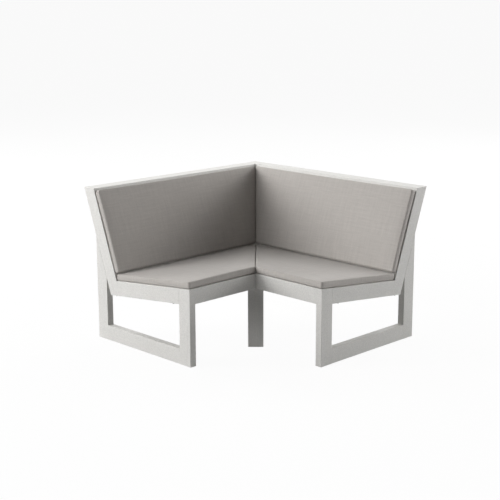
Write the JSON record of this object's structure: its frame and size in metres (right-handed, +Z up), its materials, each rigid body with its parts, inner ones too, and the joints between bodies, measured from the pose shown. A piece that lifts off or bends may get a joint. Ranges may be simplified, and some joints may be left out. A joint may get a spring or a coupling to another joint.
{
  "type": "modular corner sofa",
  "caption": "Outdoor corner sofa module: board frame on sled ends, slatted seat and raked back, mitred loose seat and back cushions that pull out.",
  "frame": {"origin": "on the floor under the middle of the module's outline", "axes": "+Z up; the right arm runs along +X with its back at +Y, the left arm along -Y with its back at -X; the rear corner is at -X, +Y"},
  "size_m": [1.3014, 1.3014, 0.82],
  "materials": {
    "lumber": "light warm-grey poly lumber, matte, finely speckled, eased edges",
    "cushion_fabric": "warm taupe-grey outdoor fabric with a fine plain weave",
    "cushion_foam": "open-cell upholstery foam",
    "tenon_wood": "plain hardwood",
    "bolt_steel": "dark plated steel"
  },
  "bodies": {
    "frame": {"corner_back_post": "lumber", "corner_bolts": "bolt_steel", "corner_seat_beam": "lumber", "inner_corner_leg": "lumber", "left_back_corner_cleat": "lumber", "left_back_end_cleat": "lumber", "left_back_post": "lumber", "left_back_slat_1": "lumber", "left_back_slat_2": "lumber", "left_back_slat_3": "lumber", "left_back_slat_4": "lumber", "left_front_apron": "lumber", "left_front_leg": "lumber", "left_rear_leg": "lumber", "left_rear_seat_rail": "lumber", "left_runner": "lumber", "left_seat_corner_cleat": "lumber", "left_seat_end_cleat": "lumber", "left_seat_joist": "lumber", "left_seat_rail": "lumber", "left_seat_slat_1": "lumber", "left_seat_slat_2": "lumber", "left_seat_slat_3": "lumber", "left_seat_slat_4": "lumber", "left_seat_slat_5": "lumber", "left_top_rail": "lumber", "link_bolts": "bolt_steel", "rear_corner_leg": "lumber", "right_back_corner_cleat": "lumber", "right_back_end_cleat": "lumber", "right_back_post": "lumber", "right_back_slat_1": "lumber", "right_back_slat_2": "lumber", "right_back_slat_3": "lumber", "right_back_slat_4": "lumber", "right_front_apron": "lumber", "right_front_leg": "lumber", "right_rear_leg": "lumber", "right_rear_seat_rail": "lumber", "right_runner": "lumber", "right_seat_corner_cleat": "lumber", "right_seat_end_cleat": "lumber", "right_seat_joist": "lumber", "right_seat_rail": "lumber", "right_seat_slat_1": "lumber", "right_seat_slat_2": "lumber", "right_seat_slat_3": "lumber", "right_seat_slat_4": "lumber", "right_seat_slat_5": "lumber", "right_top_rail": "lumber", "tenons": "tenon_wood"},
    "left_seat_cushion": {"left_seat_cushion_core": "cushion_foam", "left_seat_cushion_cover": "cushion_fabric"},
    "right_seat_cushion": {"right_seat_cushion_core": "cushion_foam", "right_seat_cushion_cover": "cushion_fabric"},
    "left_back_cushion": {"left_back_cushion_core": "cushion_foam", "left_back_cushion_cover": "cushion_fabric"},
    "right_back_cushion": {"right_back_cushion_core": "cushion_foam", "right_back_cushion_cover": "cushion_fabric"}
  },
  "joints": [
    {"name": "left_seat_cushion_pull", "type": "slide", "parent": "frame", "child": "left_seat_cushion", "axis": [0.7052, -0.7052, 0.0741], "range_m": [0, 0.85]},
    {"name": "left_back_cushion_lift", "type": "slide", "parent": "frame", "child": "left_back_cushion", "axis": [-0.342, 0, 0.9397], "range_m": [0, 0.5]},
    {"name": "right_seat_cushion_pull", "type": "slide", "parent": "frame", "child": "right_seat_cushion", "axis": [0.7052, -0.7052, 0.0741], "range_m": [0, 0.85]},
    {"name": "right_back_cushion_lift", "type": "slide", "parent": "frame", "child": "right_back_cushion", "axis": [0, 0.342, 0.9397], "range_m": [0, 0.5]}
  ]
}
